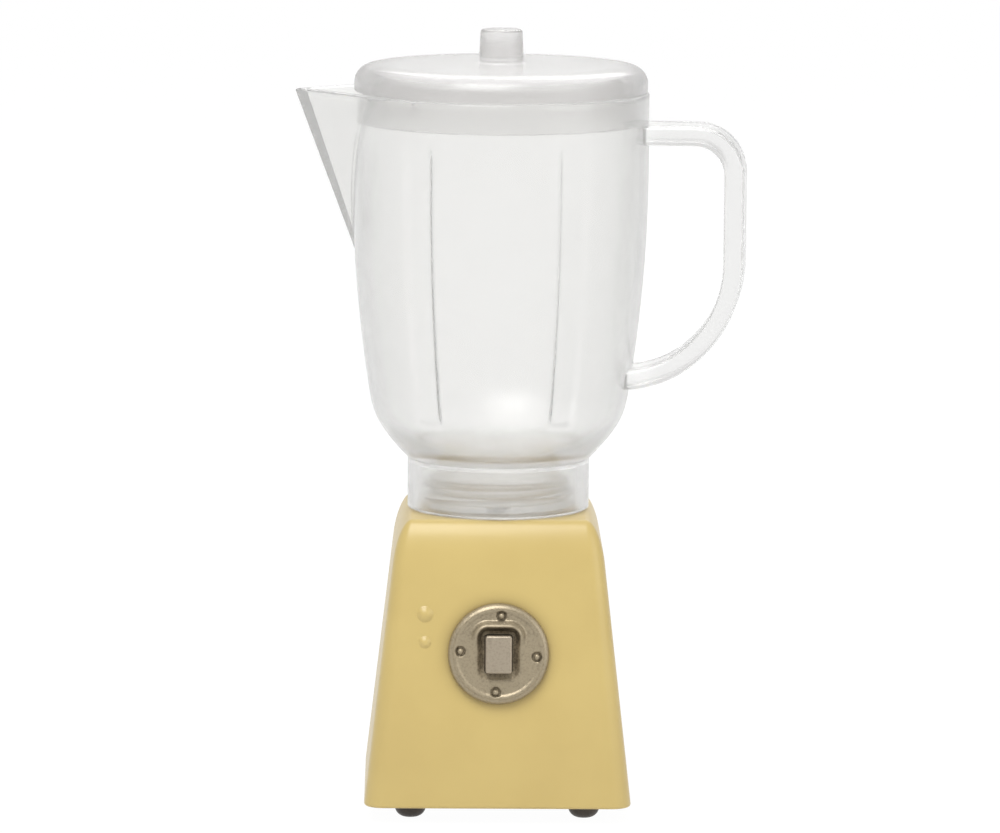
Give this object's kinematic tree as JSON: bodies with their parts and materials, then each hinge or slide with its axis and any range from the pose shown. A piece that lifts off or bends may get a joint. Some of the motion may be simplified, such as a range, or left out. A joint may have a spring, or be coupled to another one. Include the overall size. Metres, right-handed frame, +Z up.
{
  "type": "toy blender",
  "caption": "Miniature toy countertop blender: tapered enamelled base with a push switch, clear jug with pouring lip and strap handle, and a press-in lid with a knob.",
  "frame": {"origin": "middle of the whole object's footprint, on the floor that the feet stand on", "axes": "+Z up, -Y the front with the switch, +X the side of the jug's handle"},
  "size_m": [0.0465, 0.0304, 0.0803],
  "materials": {
    "enamel": "gloss butter-yellow enamel over a zinc casting",
    "dark_plastic": "moulded, satin",
    "foot_rubber": "satin dark brown",
    "screw_steel": "zinc plated",
    "pewter": "cast, antiqued warm pewter",
    "clear_plastic": "clear, moulded",
    "milky_plastic": "milky clear, moulded"
  },
  "bodies": {
    "base": {"base_housing": "enamel", "bottom_plate": "dark_plastic", "foot_front_left": "foot_rubber", "foot_front_right": "foot_rubber", "foot_rear_left": "foot_rubber", "foot_rear_right": "foot_rubber", "bottom_screw_1": "screw_steel", "bottom_screw_2": "screw_steel", "bottom_screw_3": "screw_steel", "bottom_screw_4": "screw_steel", "threaded_spigot": "clear_plastic", "spigot_washer": "screw_steel", "spigot_screw": "screw_steel", "switch_plate": "pewter", "switch_rivet_1": "pewter", "switch_rivet_2": "pewter", "switch_rivet_3": "pewter", "switch_rivet_4": "pewter", "spring_cup": "dark_plastic", "button_spring": "screw_steel"},
    "button": {"switch_button": "pewter"},
    "jug": {"jug": "milky_plastic"},
    "lid": {"lid": "milky_plastic"}
  },
  "joints": [
    {"name": "button_press", "type": "slide", "parent": "base", "child": "button", "axis": [0, 0.9935, -0.1138], "range_m": [0, 0.0007], "stiffness_N_per_m": 300, "springref_m": -0.0003, "deforming": ["button_spring"]},
    {"name": "jug_lift", "type": "slide", "parent": "base", "child": "jug", "axis": [0, 0, 1], "range_m": [0, 0.006]},
    {"name": "lid_lift", "type": "slide", "parent": "jug", "child": "lid", "axis": [0, 0, 1], "range_m": [0, 0.006]}
  ]
}
